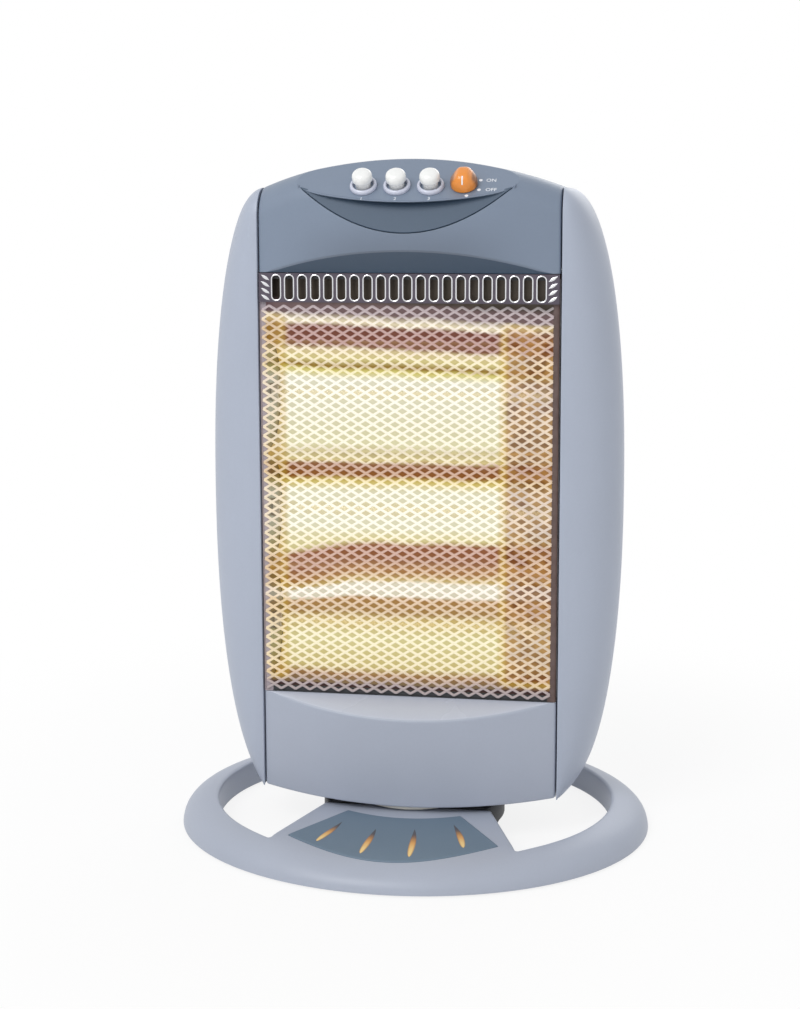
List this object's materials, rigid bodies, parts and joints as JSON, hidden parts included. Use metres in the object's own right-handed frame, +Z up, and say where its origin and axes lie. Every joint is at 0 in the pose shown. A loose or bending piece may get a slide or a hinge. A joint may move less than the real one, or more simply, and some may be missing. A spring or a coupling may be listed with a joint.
{
  "type": "halogen heater",
  "caption": "Free-standing halogen heater: glowing quartz tubes behind a diamond mesh guard, in a rounded blue-grey body that swings on an oval ring base, with push buttons and a knob on top.",
  "frame": {"origin": "on the floor under the middle of the oval base, on the swing axis", "axes": "+X to the right as seen from the front, -Y out of the guard, +Z up"},
  "size_m": [0.3396, 0.2878, 0.4765],
  "materials": {
    "shell": "pale blue-grey moulded plastic, satin",
    "hood": "mid blue-grey moulded plastic, satin",
    "accent": "dark slate-blue moulded plastic, satin",
    "rear": "powder-coated steel sheet with louvre slots",
    "black": "black moulded plastic",
    "steel": "zinc-plated steel",
    "guard": "bright plated expanded steel mesh and frame",
    "reflector": "polished reflector sheet",
    "quartz": "glowing quartz tube",
    "filament": "glowing tungsten filament",
    "ceramic": "matt white ceramic",
    "cap": "glossy white push-button cap",
    "collar": "pale lilac-grey button collar",
    "orange": "glossy orange plastic",
    "rubber": "black rubber",
    "nylon": "natural nylon"
  },
  "bodies": {
    "base": {"base_cover": "shell", "base_bottom_plate": "black", "base_inset": "accent", "foot_front_left": "rubber", "foot_rear_left": "rubber", "foot_front_right": "rubber", "foot_rear_right": "rubber", "hub_housing": "accent", "spindle": "steel", "turntable_ring": "nylon", "spindle_nut": "steel", "drive_arm": "steel", "tip_switch_housing": "black"},
    "heater": {"motor_bracket": "steel", "oscillation_motor": "steel", "right_side_panel": "shell", "left_side_panel": "shell", "top_hood": "hood", "crescent_insert": "accent", "lower_front_panel": "shell", "body_bottom_plate": "black", "rear_cover": "rear", "cord_gland": "black", "guard_frame": "guard", "guard_mesh": "guard", "reflector": "reflector", "end_plate_right": "reflector", "end_plate_left": "reflector", "thermal_cutout": "black", "terminal_block": "nylon", "rotary_switch": "black", "rear_screw_lower_left": "steel", "rear_screw_lower_right": "steel", "rear_screw_upper_left": "steel", "rear_screw_upper_right": "steel", "quartz_tube_1": "quartz", "filament_1": "filament", "button_collar_1": "collar", "push_switch_1": "black", "lamp_cap_left_1": "ceramic", "lamp_cap_right_1": "ceramic", "quartz_tube_2": "quartz", "filament_2": "filament", "button_collar_2": "collar", "push_switch_2": "black", "lamp_cap_left_2": "ceramic", "lamp_cap_right_2": "ceramic", "quartz_tube_3": "quartz", "filament_3": "filament", "button_collar_3": "collar", "push_switch_3": "black", "lamp_cap_left_3": "ceramic", "lamp_cap_right_3": "ceramic"},
    "crank": {"crank": "nylon"},
    "knob": {"knob": "orange"},
    "tip_plunger": {"tip_plunger": "orange"},
    "button_left": {"button_cap_1": "cap"},
    "button_middle": {"button_cap_2": "cap"},
    "button_right": {"button_cap_3": "cap"}
  },
  "joints": [
    {"name": "oscillation", "type": "hinge", "parent": "base", "child": "heater", "pos_m": [0, 0, 0.03], "axis": [0, 0, 1], "range_deg": [-35, 35]},
    {"name": "crank_turn", "type": "hinge", "parent": "heater", "child": "crank", "pos_m": [0, 0.014, 0.05], "axis": [0, 0, 1], "range_deg": [-126, 126]},
    {"name": "press_left", "type": "slide", "parent": "heater", "child": "button_left", "axis": [0, 0.6428, -0.766], "range_m": [0, 0.0035], "stiffness_N_per_m": 250, "springref_m": -0.003},
    {"name": "press_middle", "type": "slide", "parent": "heater", "child": "button_middle", "axis": [0, 0.6428, -0.766], "range_m": [0, 0.0035], "stiffness_N_per_m": 250, "springref_m": -0.003},
    {"name": "press_right", "type": "slide", "parent": "heater", "child": "button_right", "axis": [0, 0.6428, -0.766], "range_m": [0, 0.0035], "stiffness_N_per_m": 250, "springref_m": -0.003},
    {"name": "knob_turn", "type": "hinge", "parent": "heater", "child": "knob", "pos_m": [0.0395, -0.03321, 0.45857], "axis": [0, -0.6428, 0.766], "range_deg": [0, 100]},
    {"name": "plunger_drop", "type": "slide", "parent": "base", "child": "tip_plunger", "axis": [0, 0, -1], "range_m": [0, 0.0035], "stiffness_N_per_m": 100, "springref_m": 0.005}
  ],
  "couplings": [
    {"joint": "crank_turn", "follows": "oscillation", "ratio": -3.5714}
  ]
}
